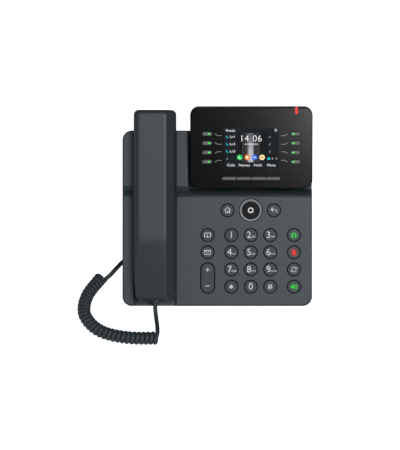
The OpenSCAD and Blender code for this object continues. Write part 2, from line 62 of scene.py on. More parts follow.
PIN_X, PIN_Y, PIN_Z = 36.15, 139.2, -7
HANDSET_X = -66.2

# slope: x right, y up the keypad face from its lower edge, z out of the face
SLOPE = Matrix.Translation((0, FRONT, FACE_FOOT)) @ Matrix.Rotation(LEAN, 4, "X")
# display: the same way round, from the middle of the screen's hinge pins
DISPLAY = SLOPE @ Matrix.Translation((PIN_X, PIN_Y, PIN_Z)) @ Matrix.Rotation(DISPLAY_LEAN, 4, "X")
# handset: the slope's frame moved to the middle line of the cradle
HANDSET = SLOPE @ Matrix.Translation((HANDSET_X, 0, 0))
WORLD = Matrix.Identity(4)


def on_slope(x, y, z):
    return SLOPE @ Vector((x, y, z))


# ---- materials ----
MIX_FACTOR, MIX_FIRST, MIX_SECOND, MIX_RESULT = 0, 6, 7, 2


def srgb(*channels):
    """A colour given in 0 to 255 as the linear colour that Blender uses."""
    linear = [v / 255 / 12.92 if v <= 10 else ((v / 255 + 0.055) / 1.055) ** 2.4 for v in channels]
    return tuple(linear) + (1.0,)


def scaled(colour, by):
    return tuple(min(1, c * by) for c in colour[:3]) + (1,)


def new_material(name):
    material = bpy.data.materials.new(name)
    material.use_nodes = True
    tree = material.node_tree
    return material, tree, tree.nodes["Principled BSDF"]


def noise(tree, scale, detail=3.0):
    """A noise value over the object's coordinates."""
    place = tree.nodes.new("ShaderNodeTexCoord")
    node = tree.nodes.new("ShaderNodeTexNoise")
    node.inputs["Scale"].default_value = scale
    node.inputs["Detail"].default_value = detail
    tree.links.new(place.outputs["Object"], node.inputs["Vector"])
    return node.outputs["Fac"]


def map_range(tree, value, start, end, low, high, curve="LINEAR"):
    """Turns a value that runs from start to end into one that runs from low to high."""
    node = tree.nodes.new("ShaderNodeMapRange")
    node.interpolation_type = curve
    for socket, number in (("From Min", start), ("From Max", end), ("To Min", low), ("To Max", high)):
        node.inputs[socket].default_value = number
    tree.links.new(value, node.inputs["Value"])
    return node.outputs["Result"]


def spread(tree, value, low, high):
    """A noise value's usual range spread from low to high."""
    return map_range(tree, value, 0.3, 0.7, low, high)


def surface(name, colour, rough, vary=0.06, rough_vary=0.05, grain=1100, bump=0.05, specular=0.5, metal=0.0):
    """A plastic, rubber or metal with a little change of colour, gloss and relief over it."""
    material, tree, shader = new_material(name)
    mix = tree.nodes.new("ShaderNodeMix")
    mix.data_type = "RGBA"
    mix.inputs[MIX_FIRST].default_value = scaled(colour, 1 - vary)
    mix.inputs[MIX_SECOND].default_value = scaled(colour, 1 + vary)
    tree.links.new(noise(tree, 45), mix.inputs[MIX_FACTOR])
    tree.links.new(mix.outputs[MIX_RESULT], shader.inputs["Base Color"])
    fine = noise(tree, grain, 2.0)
    gloss = spread(tree, fine, max(0.02, rough - rough_vary), min(1, rough + rough_vary))
    tree.links.new(gloss, shader.inputs["Roughness"])
    relief = tree.nodes.new("ShaderNodeBump")
    relief.inputs["Strength"].default_value = bump
    relief.inputs["Distance"].default_value = 0.0002
    tree.links.new(fine, relief.inputs["Height"])
    tree.links.new(relief.outputs["Normal"], shader.inputs["Normal"])
    shader.inputs["Metallic"].default_value = metal
    shader.inputs["Specular IOR Level"].default_value = specular
    return material


def glowing(name, colour, strength, rough=0.35):
    """A lit surface: lamp, picture or legend."""
    material, tree, shader = new_material(name)
    value = noise(tree, 400)
    light = spread(tree, value, strength * 0.94, strength * 1.06)
    tree.links.new(light, shader.inputs["Emission Strength"])
    tree.links.new(spread(tree, value, rough - 0.05, rough + 0.05), shader.inputs["Roughness"])
    shader.inputs["Base Color"].default_value = scaled(colour, 0.25)
    shader.inputs["Emission Color"].default_value = colour
    shader.inputs["Specular IOR Level"].default_value = 0.2
    return material


HOUSING = surface("housing_plastic", srgb(44, 56, 63), 0.43)
REAR = surface("rear_plastic", srgb(42, 50, 55), 0.5)
SHELL = surface("handset_plastic", srgb(36, 46, 53), 0.4)
INNER = surface("handset_inner_plastic", srgb(40, 46, 50), 0.5)
RUBBER = surface("foot_rubber", srgb(26, 27, 28), 0.85, grain=1600, bump=0.12)
STEEL = surface("screw_steel", srgb(170, 172, 175), 0.32, metal=1.0, grain=2400)
BOARD = surface("board_green", srgb(28, 84, 52), 0.45)
MAT = surface("mat_rubber", srgb(120, 124, 128), 0.7)
SPEAKER = surface("speaker_black", srgb(38, 38, 38), 0.7)
SOCKET_METAL = surface("socket_metal", srgb(176, 178, 180), 0.35, metal=1.0, grain=2400)
SOCKET = surface("socket_plastic", srgb(36, 38, 40), 0.5)
GLOSS = surface("gloss_black", srgb(11, 11, 11), 0.22, specular=0.12, vary=0.04, rough_vary=0.02, bump=0.01)
BEZEL = surface("bezel_black", srgb(2, 2, 2), 0.25, specular=0.12, vary=0.04, rough_vary=0.008, grain=1800,
                bump=0.004)
DISPLAY_BACK = surface("display_back_plastic", srgb(26, 28, 30), 0.45)
PLUG = surface("plug_plastic", srgb(40, 43, 46), 0.4)
CORD = surface("cord_rubber", srgb(46, 56, 61), 0.5, grain=900, bump=0.05)
RING = surface("ring_grey", srgb(120, 126, 130), 0.42)
KEY = surface("key_plastic", srgb(33, 42, 47), 0.43)
LINE_KEY = surface("line_key_plastic", srgb(98, 103, 107), 0.45)
LEGEND = surface("legend_ink", srgb(236, 241, 244), 0.6, bump=0.02)
MARK = surface("bezel_mark_ink", srgb(150, 152, 154), 0.6, bump=0.02)


# ---- mesh building ----
class Part:
    """Gathers pieces of mesh drawn in one frame into one object. With no frame it stays as drawn."""

    def __init__(self, name, where, material):
        self.name = name
        self.where = where
        self.slots = [material]
        self.verts = []
        self.faces = []
        self.index = []

    def add(self, shape, material=None):
        verts, faces = shape
        material = material or self.slots[0]
        if material not in self.slots:
            self.slots.append(material)
        base = len(self.verts)
        self.verts += [tuple((self.where @ Vector(v)) * MM) for v in verts] if self.where else verts
        self.faces += [tuple(base + i for i in f) for f in faces]
        self.index += [self.slots.index(material)] * len(faces)
        return self

    def make(self, sharp=32):
        mesh = bpy.data.meshes.new(self.name)
        mesh.from_pydata(self.verts, [], self.faces)
        for m in self.slots:
            mesh.materials.append(m)
        mesh.polygons.foreach_set("material_index", self.index)
        b = bmesh.new()
        b.from_mesh(mesh)
        bmesh.ops.recalc_face_normals(b, faces=b.faces)
        b.to_mesh(mesh)
        b.free()
        obj = bpy.data.objects.new(self.name, mesh)
        bpy.context.scene.collection.objects.link(obj)
        if self.where:
            smooth(obj, sharp)
        return obj


def part_flats(mesh, large=2e-4):
    """Keeps broad flat faces flat: their outlines divide the shading."""
    b = bmesh.new()
    b.from_mesh(mesh)
    b.normal_update()
    flats = [f.normal.copy() for f in b.faces if f.calc_area() > large]
    flat = {f.index: any(f.normal.dot(n) > 0.99999 for n in flats) for f in b.faces}
    for e in b.edges:
        if len({flat[f.index] for f in e.link_faces}) > 1:
            e.smooth = False
    b.to_mesh(mesh)
    b.free()


def smooth(obj, sharp=32):
    obj.data.shade_smooth()
    obj.data.set_sharp_from_angle(angle=math.radians(sharp))
    part_flats(obj.data)
    if "even_normals" not in obj.modifiers:
        m = obj.modifiers.new("even_normals", "WEIGHTED_NORMAL")
        m.keep_sharp = True
        m.weight = 100


def carve(obj, where, parts, sharp=32):
    """Cuts each part out of obj, all of them as drawn, and then places obj in its frame."""
    for part in parts:
        cutter = part.make()
        m = obj.modifiers.new("cut", "BOOLEAN")
        m.operation = "DIFFERENCE"
        m.solver = "EXACT"
        m.object = cutter
        bpy.context.view_layer.update()
        done = bpy.data.meshes.new_from_object(obj.evaluated_get(bpy.context.evaluated_depsgraph_get()))
        obj.modifiers.clear()
        obj.data = done
        bpy.data.objects.remove(cutter)
    obj.data.transform(Matrix.Scale(MM, 4) @ where)
    smooth(obj, sharp)


def loft(rings, closed=False):
    """A skin over rings of points; closed joins the last ring to the first."""
    n, k = len(rings[0]), len(rings)
    verts = [p for r in rings for p in r]
    faces = [(a * n + i, a * n + (i + 1) % n, (a + 1) % k * n + (i + 1) % n, (a + 1) % k * n + i)
             for a in range(k if closed else k - 1) for i in range(n)]
    if not closed:
        faces += [tuple(range(n)), tuple(range((k - 1) * n, k * n))]
    return verts, faces


def rounded(w, h, r, cx=0.0, cy=0.0, n=12):
    r = max(min(r, w / 2 - 0.001, h / 2 - 0.001), 0.01)
    return [(cx + sx * (w / 2 - r) + r * math.cos(math.radians(a + 90 * k / n)),
             cy + sy * (h / 2 - r) + r * math.sin(math.radians(a + 90 * k / n)))
            for sx, sy, a in ((1, 1, 0), (-1, 1, 90), (-1, -1, 180), (1, -1, 270)) for k in range(n + 1)]


def slab(w, h, r, levels, cx=0.0, cy=0.0, n=12):
    """A rounded plate through (z, inset) levels."""
    return loft([[(x, y, z) for x, y in rounded(w - 2 * i, h - 2 * i, r - i, cx, cy, n)] for z, i in levels])


def round_over(z, r, inset=0.0, n=6):
    """Levels of a rounded upper edge ending at height z."""
    return [(z - r + r * math.sin(math.pi / 2 * k / n), inset + r - r * math.cos(math.pi / 2 * k / n))
            for k in range(n + 1)]


def flared(z, r, n=5):
    """Levels of a hole's rounded lip at height z."""
    return [(z - r + r * math.sin(math.pi / 2 * k / n), -r + r * math.cos(math.pi / 2 * k / n))
            for k in range(n + 1)] + [(z + 1, -r)]


def block(x0, x1, y0, y1, z0, z1):
    return loft([[(x0, y0, z), (x1, y0, z), (x1, y1, z), (x0, y1, z)] for z in (z0, z1)])


def rod(x0, x1, y, z, r, n=40):
    """A cylinder along x with softened ends."""
    ends = [(x0, r - 0.3), (x0 + 0.3, r), (x1 - 0.3, r), (x1, r - 0.3)]
    return loft([[(x, y + q * math.cos(2 * math.pi * k / n), z + q * math.sin(2 * math.pi * k / n))
                  for k in range(n)] for x, q in ends])


def lathe(profile, cx, cy, n=96):
    """A closed profile of (radius, z) turned about an upright axis."""
    return loft([[(cx + r * math.cos(2 * math.pi * k / n), cy + r * math.sin(2 * math.pi * k / n), z)
                  for r, z in profile] for k in range(n)], closed=True)


def ribbon(points, width, z, thick=0.05, closed=False):
    """A flat stroke along (x, y) points, sunk a little into what it lies on."""
    p = [Vector((x, y, 0)) for x, y in points]
    n = len(p)
    left, right = [], []
    for i in range(n):
        a = p[(i - 1) % n] if closed or i else p[i]
        b = p[(i + 1) % n] if closed or i < n - 1 else p[i]
        d = (b - a).normalized()
        side = Vector((-d.y, d.x, 0)) * width / 2
        if closed or 0 < i < n - 1:
            e = (p[i] - a).normalized()
            side *= 1 / max(0.5, abs(e.dot(d)))
        left.append(p[i] + side)
        right.append(p[i] - side)
    rings = [[(a.x, a.y, z - thick), (b.x, b.y, z - thick), (b.x, b.y, z), (a.x, a.y, z)]
             for a, b in zip(left, right)]
    return loft(rings, closed)


def arc(cx, cy, r, a0, a1, n=14):
    angles = [math.radians(a0 + (a1 - a0) * k / n) for k in range(n + 1)]
    return [(cx + r * math.cos(a), cy + r * math.sin(a)) for a in angles]


def shifted(points, x, y):
    return [(x + a, y + b) for a, b in points]


def lettering(text, size, x, y, z, thin=0.0, align="CENTER"):
    """Characters of the built-in font as a thin solid."""
    curve = bpy.data.curves.new("lettering", "FONT")
    curve.body = text
    curve.size = size
    curve.align_x = align
    curve.align_y = "CENTER"
    curve.offset = -thin * size
    curve.extrude = 0.025
    curve.resolution_u = 4
    curve.space_character = 1.08
    obj = bpy.data.objects.new("lettering", curve)
    bpy.context.scene.collection.objects.link(obj)
    bpy.context.view_layer.update()
    mesh = bpy.data.meshes.new_from_object(obj.evaluated_get(bpy.context.evaluated_depsgraph_get()))
    b = bmesh.new()
    b.from_mesh(mesh)
    bmesh.ops.remove_doubles(b, verts=b.verts, dist=0.0005)
    b.to_mesh(mesh)
    b.free()
    verts = [(v.co.x + x, v.co.y + y, v.co.z + z) for v in mesh.vertices]
    faces = [tuple(f.vertices) for f in mesh.polygons]
    bpy.data.objects.remove(obj)
    bpy.data.curves.remove(curve)
    bpy.data.meshes.remove(mesh)
    return verts, faces


def stands_for(obj, body, slot, *names):
    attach(obj, body)
    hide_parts(*names)
    return obj


# ---- camera: square to the keypad face ----
camera = bpy.data.objects.new("camera", bpy.data.cameras.new("camera"))
bpy.context.scene.collection.objects.link(camera)
bpy.context.scene.camera = camera
LENS, SENSOR = 400, 36
VIEW_X, VIEW_Y, VIEW_HEIGHT = -18.4, 86.3, 479.3
camera.data.lens = LENS
camera.data.sensor_width = SENSOR
camera.data.sensor_fit = "AUTO"
camera.data.clip_start = 0.05
camera.data.clip_end = 20
camera_place = on_slope(VIEW_X, VIEW_Y, LENS * VIEW_HEIGHT / SENSOR) * MM
camera.matrix_world = Matrix.Translation(camera_place) @ Matrix.Rotation(LEAN, 4, "X")


# ---- cord: two leads and a coil, one tube ----
def smooth_way(points, steps):
    """A smooth curve through points."""
    p = [Vector(q) for q in points]
    out = []
    for i in range(len(p) - 1):
        a, b, c, d = p[max(0, i - 1)], p[i], p[i + 1], p[min(len(p) - 1, i + 2)]
        for s in range(steps):
            t = s / steps
            out.append(0.5 * ((2 * b) + (c - a) * t + (2 * a - 5 * b + 4 * c - d) * t * t
                              + (3 * b - a - 3 * c + d) * t ** 3))
    return out + [p[-1]]


def evenly(way, step):
    """The same way with points about step apart."""
    total = sum((b - a).length for a, b in zip(way, way[1:]))
    count = max(2, round(total / step))
    out, i, gone = [], 0, 0.0
    for k in range(count + 1):
        want = total * k / count
        while i < len(way) - 2 and gone + (way[i + 1] - way[i]).length < want:
            gone += (way[i + 1] - way[i]).length
            i += 1
        span = (way[i + 1] - way[i]).length
        out.append(way[i].lerp(way[i + 1], min(1, (want - gone) / span) if span else 0))
    return out


CORD_WIDTH = 4.6
COIL_MEAN = 5.0
COIL_PITCH = 5.12
COIL_Z = 7.4
AXIS_STEP = 0.25
STEPS_PER_TURN = 22
LEAD_STEPS = 12
CORD_SIDES = 14
HANDSET_RISE = 60
# how much thinner and wider along the coil the section of a pressed turn is
THINNER, WIDER = 0.07, 0.18


def beside_housing(points):
    """Places given from the housing's left front corner and the desk."""
    return [Vector((LEFT + x, FRONT + y, z)) for x, y, z in points]


base_exit = on_slope(-60, 72.7, -23)
hand_exit = on_slope(HANDSET_X, 3.6, 5)
# the cord leaves both sockets along the slope, downward
down = Vector((0, -math.cos(LEAN), -math.sin(LEAN)))
coil_route = ((-23, 48), (-38, 20), (-40, -8), (-24, -31), (4, -41), (37, -42))
axis = evenly(smooth_way(beside_housing([(x, y, COIL_Z) for x, y in coil_route]), 40), AXIS_STEP)
turns = round(AXIS_STEP * (len(axis) - 1) / COIL_PITCH) + 0.75
coil_steps = round(turns * STEPS_PER_TURN)
coil = []
for k in range(coil_steps + 1):
    s = k / coil_steps
    at = s * (len(axis) - 1)
    i = min(int(at), len(axis) - 2)
    centre = axis[i].lerp(axis[i + 1], at - i)
    along = (axis[min(i + 2, len(axis) - 1)] - axis[max(i - 1, 0)]).normalized()
    across = Vector((-along.y, along.x, 0))
    turn = math.pi / 2 + 2 * math.pi * turns * (1 - s)
    coil.append(centre + COIL_MEAN * (math.cos(turn) * across + math.sin(turn) * Vector((0, 0, 1))))
base_lead = [base_exit, base_exit + down * 3, base_exit + down * 9]
base_lead += beside_housing([(41, 57, 28), (35, 60, 22), (21, 64.5, 19), (3, 65.5, 15.8), (-6.5, 57, 13),
                             (-13, 49, 10.8)])
base_lead = smooth_way(base_lead + [coil[0]], LEAD_STEPS)
leave = (coil[-1] - coil[-2]).normalized()
hand_lead = [coil[-1], coil[-1] + leave * 3.5]
hand_lead += beside_housing([(37.3, -27, 9.6), (36.4, -18, 9.4), (35.4, -9, 11.4)])
hand_lead += [hand_exit + down * 3, hand_exit]
hand_lead = smooth_way(hand_lead, LEAD_STEPS)
way = evenly(base_lead[:-1] + coil, 1.0)
into_coil = min(range(len(way)), key=lambda k: (way[k] - coil[0]).length)
from_hand = len(way)
way += evenly(hand_lead, 1.0)[1:]

rings = []
raise_by = on_slope(0, 0, HANDSET_RISE) - on_slope(0, 0, 0)
lead_rings = len(way) - 1 - from_hand


def share_at(k):
    """How far the lead's k-th ring goes along with the lifted handset."""
    s = max(0, k - from_hand) / lead_rings
    return s * s * (3 - 2 * s)


ahead = (way[1] - way[0]).normalized()
out = ahead.cross(Vector((1, 0, 0))).normalized()
for k, p in enumerate(way):
    rest = (way[min(k + 1, len(way) - 1)] - way[max(k - 1, 0)]).normalized()
    # a ring of the handset's lead faces between its ways at rest and lifted, so it stays round in both
    raised = rest + raise_by * (share_at(k + 0.5) - share_at(k - 0.5))
    new = (rest + raised.normalized()).normalized()
    out = ahead.rotation_difference(new) @ out
    out = (out - new * out.dot(new)).normalized()
    ahead = new
    other = new.cross(out)
    angles = [2 * math.pi * q / CORD_SIDES for q in range(CORD_SIDES)]
    ring = [CORD_WIDTH / 2 * (math.cos(a) * out + math.sin(a) * other) for a in angles]
    # the turns lie pressed against each other, so their section is a little flat
    gone = (k - into_coil) / (from_hand - into_coil)
    if 0 < gone < 1:
        i = min(int(gone * (len(axis) - 1)), len(axis) - 2)
        along = (axis[i + 1] - axis[i]).normalized()
        press = min(1, 12 * gone, 12 * (1 - gone))
        ring = [(1 - THINNER * press) * v + WIDER * press * v.dot(along) * along for v in ring]
    # a ring that faces between the two ways is drawn wider across the bend, to keep the tube's width
    lean = raised.normalized() - rest
    if lean.length > 1e-4:
        lean.normalize()
        ring = [v + lean * v.dot(lean) * (1 / rest.dot(new) - 1) for v in ring]
    rings.append([p + v for v in ring])
cord = Part("handset_cord", WORLD, CORD).add(loft(rings)).make(50)
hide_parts("cord_leads", "cord_coil")
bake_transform(cord, "base", "handset", start=way[from_hand] * MM, end=hand_exit * MM)
# each ring goes up with the handset by one share, which is none at the coil and whole at the handset
share = cord.data.attributes["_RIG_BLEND"].data
for k in range(len(way) * CORD_SIDES):
    share[k].value = share_at(k // CORD_SIDES)

# ---- front half of the housing ----
NUMBER_X = (14.95, 35.65, 56.35)
SIDE_X = (-10.35, 81.65)
ROW_Y = (20.6, 38.9, 57.2, 75.5)
NAV = (35.65, 102.0)
DECK_LEFT, DECK_Z, KEYPAD_LENGTH, ROLL = -30.0, -12.0, 124.0, 10.0
GROOVE_Y, GROOVE_HALF, GROOVE_DEPTH = 122.0, 64, 3.2
VOLUME_Y = 29.75
WELL, WELL_FLOOR = 14.5, -6.2
NAV_SIDE = 24.7

front_levels = [(-16, 0.45), (-15.55, 0.45), (-15.4, 0)] + round_over(0, 1.7)
front = Part("front_housing_look", None, HOUSING)
front = front.add(slab(HOUSING_WIDTH, HOUSING_LENGTH, 10, front_levels, 0, HOUSING_LENGTH / 2, 14)).make()

# the face is divided between the keys, so that each well is cut from a piece of its own
b = bmesh.new()
b.from_mesh(front.data)
cuts = [((x, 0, 0), (1, 0, 0)) for x in (-43.5, -27, -20, 2.3, 25.3, 46, 69, 92)]
cuts += [((0, y, 0), (0, 1, 0)) for y in (11, 48.05, 66.35, 86.5, 113.5, 130)]
for point, normal in cuts:
    everything = list(b.verts) + list(b.edges) + list(b.faces)
    bmesh.ops.bisect_plane(b, geom=everything, dist=1e-5, plane_co=point, plane_no=normal)
b.to_mesh(front.data)
b.free()

# the pocket under the screen, rolled over at the keypad and rounded along its left lip
flat_end = KEYPAD_LENGTH - ROLL
pocket_side = [(flat_end - 0.5, 0.05)]
pocket_side += [(x, z - ROLL) for x, z in arc(flat_end, 0, ROLL, 90, 0, 18)]
pocket_side += [(KEYPAD_LENGTH, DECK_Z + 1), (KEYPAD_LENGTH + 1, DECK_Z), (195, DECK_Z), (195, 4),
                (flat_end - 0.5, 4)]
LIP = 2.5
pocket_rings = []
for x, low in arc(DECK_LEFT - LIP, -LIP, LIP, 90, 0, 9):
    pocket_rings.append([(x, y, max(z, low) if z < 3 else z) for y, z in pocket_side])
pocket_rings += [[(x, y, z) for y, z in pocket_side] for x in (DECK_LEFT + 0.02, 110)]
pocket = Part("cut", None, HOUSING).add(loft(pocket_rings))

# a soft groove across the housing, left of the screen; GROOVE_HALF is in tenths of a millimetre
groove_side = [(GROOVE_Y + d / 10, 0.02 - GROOVE_DEPTH * (1 - abs(d) / GROOVE_HALF) ** 1.4)
               for d in range(-GROOVE_HALF, GROOVE_HALF + 1, 4)]
groove_side += [(GROOVE_Y + GROOVE_HALF / 10, 3), (GROOVE_Y - GROOVE_HALF / 10, 3)]
groove = Part("cut", None, HOUSING)
groove.add(loft([[(x, y, z) for y, z in groove_side] for x in (-110, DECK_LEFT + 1)]))

channel_side = [(22.2, -6.8), (21.9, -7.7), (21.0, -8.0)]
channel_side = [(22.2 - i, z) for z, i in flared(0, 1.2)][::-1] + channel_side
channel_side = channel_side + [(-x, z) for x, z in reversed(channel_side)]
channel = Part("cut", None, HOUSING)
channel.add(loft([[(x + HANDSET_X, y, z) for x, z in channel_side] for y in (-3, 190)]))

wells = Part("cut", None, HOUSING)
places = [(x, y) for x in NUMBER_X for y in ROW_Y] + [(SIDE_X[1], y) for y in ROW_Y]
places += [(SIDE_X[0], ROW_Y[2]), (SIDE_X[0], ROW_Y[3])]
places += [(NAV[0] - NAV_SIDE, NAV[1]), (NAV[0] + NAV_SIDE, NAV[1])]
for x, y in places:
    wells.add(slab(WELL, WELL, WELL / 2, [(WELL_FLOOR, 0)] + flared(0, 0.45), x, y))
wells.add(slab(24.7, 24.7, 12.35, [(WELL_FLOOR, 0)] + flared(0, 0.5), *NAV, n=20))
wells.add(slab(15.5, 33.3, 7.75, [(WELL_FLOOR, 0)] + flared(0, 0.45), SIDE_X[0], VOLUME_Y, n=16))
hook = Part("cut", None, HOUSING).add(slab(8.8, 5.8, 0.8, [(-12, 0), (-7, 0)], HANDSET_X, 164.6))
hook_room = Part("cut", None, HOUSING).add(block(-72.8, -59.6, 159.6, 169.6, -17, -10.4))
carve(front, SLOPE, [wells, hook_room, pocket, channel, hook, groove])

hinges = Part("hinge_ears_look", SLOPE, HOUSING)
for k in (-1, 1):
    for e in (-1, 1):
        x = PIN_X + 30 * k + e * 9.4
        hinges.add(rod(x - 3, x + 3, PIN_Y, PIN_Z, 4.5))
        hinges.add(block(x - 2.9, x + 2.9, PIN_Y - 4.45, PIN_Y + 4.45, PIN_Z - 6, PIN_Z))
hinges = hinges.make()
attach(hinges, "base")
stands_for(front, "base", "housing", "front_housing")


# ---- kept CAD pieces: softened edges and a finish ----
def finish_node(name, material, edge=0.35):
    obj = nodes[name]
    obj.data.materials.clear()
    obj.data.materials.append(material)
    weld = obj.modifiers.new("weld", "WELD")
    weld.merge_threshold = 0.000002
    bevel = obj.modifiers.new("edges", "BEVEL")
    bevel.width = edge * MM
    bevel.segments = 2
    bevel.limit_method = "ANGLE"
    bevel.angle_limit = math.radians(40)
    bevel.harden_normals = True
    obj.data.shade_smooth()


for name, material, edge in (("rear_housing", REAR, 0.5), ("stand", REAR, 0.6), ("rubber_feet", RUBBER, 0.5),
                             ("housing_screws", STEEL, 0.12), ("main_board", BOARD, 0.1),
                             ("keypad_board", BOARD, 0.1),
                             ("keypad_mat", MAT, 0.2), ("loudspeaker", SPEAKER, 0.2),
                             ("network_jacks", SOCKET_METAL, 0.15), ("cord_jacks", SOCKET, 0.15),
                             ("hook_switch", SOCKET, 0.5), ("display_hinge_pins", STEEL, 0.2),
                             ("display_back", DISPLAY_BACK, 0.6), ("handset_receiver", SPEAKER, 0.2),
                             ("handset_microphone", SPEAKER, 0.2), ("cord_plug_base", PLUG, 0.5),
                             ("cord_plug_handset", PLUG, 0.5)):
    finish_node(name, material, edge)

# ---- keys ----
KEY_R, KEY_TOP, KEY_FOOT = 6.8, 1.4, -3.5


def glow_plastic(name, x, y, colour):
    """The key's plastic, lit from behind around its middle."""
    material = KEY.copy()
    material.name = name
    tree = material.node_tree
    shader = tree.nodes["Principled BSDF"]
    place = tree.nodes.new("ShaderNodeTexCoord")
    gap = tree.nodes.new("ShaderNodeVectorMath")
    gap.operation = "DISTANCE"
    gap.inputs[1].default_value = on_slope(x, y, KEY_TOP) * MM
    tree.links.new(place.outputs["Object"], gap.inputs[0])
    light = map_range(tree, gap.outputs["Value"], 1.0 * MM, 6.2 * MM, 0.16, 0.0, "SMOOTHSTEP")
    tree.links.new(light, shader.inputs["Emission Strength"])
    shader.inputs["Emission Color"].default_value = colour
    return material


def round_key(name, x, y, shapes, ink, cap=None):
    part = Part(name + "_look", SLOPE, cap or KEY)
    part.add(slab(2 * KEY_R, 2 * KEY_R, KEY_R, [(KEY_FOOT, 0)] + round_over(KEY_TOP, 0.8), x, y, 16))
    for shape in shapes:
        part.add(shape, ink)
    return stands_for(part.make(), name, "key_grey", name)


Z = KEY_TOP + 0.02
LETTERS = {2: "ABC", 3: "DEF", 4: "GHI", 5: "JKL", 6: "MNO", 7: "PQRS", 8: "TUV", 9: "WXYZ"}
for k in range(1, 10):
    x, y = NUMBER_X[(k - 1) % 3], ROW_Y[3 - (k - 1) // 3]
    shapes = [lettering(str(k), 10.0, x - (1.9 if k > 1 else 0), y, KEY_TOP, 0.006)]
    if k in LETTERS:
        shapes.append(lettering(LETTERS[k], 2.5, x + 2.9, y - 1.7, KEY_TOP))
    round_key(f"key_{k}", x, y, shapes, LEGEND)
x, y = NUMBER_X[1], ROW_Y[0]
round_key("key_0", x, y, [lettering("0", 10.0, x, y, KEY_TOP, 0.006)], LEGEND)
x = NUMBER_X[0]
STAR_R = 2.4
round_key("key_star", x, y,
          [ribbon([(x - STAR_R * math.cos(a), y - STAR_R * math.sin(a)),
                   (x + STAR_R * math.cos(a), y + STAR_R * math.sin(a))], 0.75, Z)
           for a in (math.pi / 2, math.pi / 6, -math.pi / 6)], LEGEND)
x = NUMBER_X[2]
round_key("key_hash", x, y,
          [ribbon([(x + a - 0.5, y - 2.8), (x + a + 0.5, y + 2.8)], 0.6, Z) for a in (-1.1, 1.1)]
          + [ribbon([(x - 2.6, y + a), (x + 2.6, y + a)], 0.6, Z) for a in (-1.0, 1.0)], LEGEND)

x, y = NAV[0] - NAV_SIDE, NAV[1]
round_key("key_home", x, y,
          [ribbon(shifted([(-3.3, 0.2), (0, 3.1), (3.3, 0.2)], x, y), 0.55, Z),
           ribbon(shifted([(-2.2, 0.4), (-2.2, -2.6), (-0.6, -2.6), (-0.6, -0.8), (0.6, -0.8), (0.6, -2.6),
                           (2.2, -2.6), (2.2, 0.4)], x, y), 0.5, Z)], LEGEND)
x = NAV[0] + NAV_SIDE
round_key("key_back", x, y,
          [ribbon(shifted([(-0.6, 2.9), (-3.2, 0.7), (-0.6, -1.5)], x, y), 0.55, Z),
           ribbon(shifted([(-2.9, 0.7), (0.6, 0.7), (2.2, 0.2), (3.1, -1.1), (3.2, -2.6)], x, y), 0.55, Z)],
          LEGEND)
x, y = SIDE_X[0], ROW_Y[3]
round_key("key_phonebook", x, y,
          [ribbon(shifted([(0, -2.0), (-1.6, -1.6), (-3.2, -2.0), (-3.2, 2.2), (-1.6, 2.5), (0, 2.1),
                           (1.6, 2.5), (3.2, 2.2), (3.2, -2.0), (1.6, -1.6)], x, y), 0.5, Z, closed=True),
           ribbon(shifted([(0, 2.1), (0, -2.0)], x, y), 0.5, Z)], LEGEND)
y = ROW_Y[2]
round_key("key_messages", x, y,
          [ribbon(shifted([(-3.2, -2.2), (-3.2, 2.2), (3.2, 2.2), (3.2, -2.2)], x, y), 0.5, Z, closed=True),
           ribbon(shifted([(-3.0, 1.9), (0, -0.4), (3.0, 1.9)], x, y), 0.5, Z)], LEGEND)

GREEN = srgb(12, 205, 48)
RED = srgb(222, 20, 28)
GREEN_INK = glowing("green_legend", GREEN, 1.0)
RED_INK = glowing("red_legend", RED, 1.0)
x, y = SIDE_X[1], ROW_Y[3]
round_key("key_headset", x, y,
          [ribbon(arc(x, y, 2.1, -10, 190), 0.8, Z)]
          + [slab(1.5, 2.5, 0.6, [(KEY_TOP - 0.04, 0), (Z, 0)], x + s * 1.9, y - 1.4) for s in (-1, 1)],
          GREEN_INK, glow_plastic("headset_glow", x, y, GREEN))
y = ROW_Y[2]
round_key("key_mute", x, y,
          [slab(2.5, 4.4, 1.2, [(KEY_TOP - 0.04, 0), (Z, 0)], x, y + 0.9),
           ribbon(arc(x, y + 0.5, 2.2, 195, 345), 0.7, Z), ribbon([(x, y - 1.6), (x, y - 3.1)], 0.8, Z),
           ribbon([(x - 1.4, y - 3.1), (x + 1.4, y - 3.1)], 0.7, Z),
           ribbon([(x - 2.3, y + 2.9), (x + 2.3, y - 2.2)], 0.5, Z + 0.01)],
          RED_INK, glow_plastic("mute_glow", x, y, RED))
y = ROW_Y[1]
round_key("key_redial", x, y,
          [ribbon(arc(x, y, 2.6, 20, 165), 0.55, Z), ribbon(arc(x, y, 2.6, 200, 345), 0.55, Z),
           ribbon(shifted([(0.9, 0.6), (2.5, 0.7), (3.4, 2.0)], x, y), 0.5, Z),
           ribbon(shifted([(-0.9, -0.6), (-2.5, -0.7), (-3.4, -2.0)], x, y), 0.5, Z)], LEGEND)
y = ROW_Y[0]
cone = shifted([(-3.3, -0.9), (-2.0, -0.9), (0.0, -2.6), (0.0, 2.6), (-2.0, 0.9), (-3.3, 0.9)], x, y)
round_key("key_speaker", x, y,
          [loft([[(a, b, z) for a, b in cone] for z in (KEY_TOP - 0.04, Z)]),
           ribbon(arc(x - 0.2, y, 1.9, -50, 50), 0.55, Z), ribbon(arc(x - 0.2, y, 3.3, -50, 50), 0.55, Z)],
          GREEN_INK, glow_plastic("speaker_glow", x, y, GREEN))

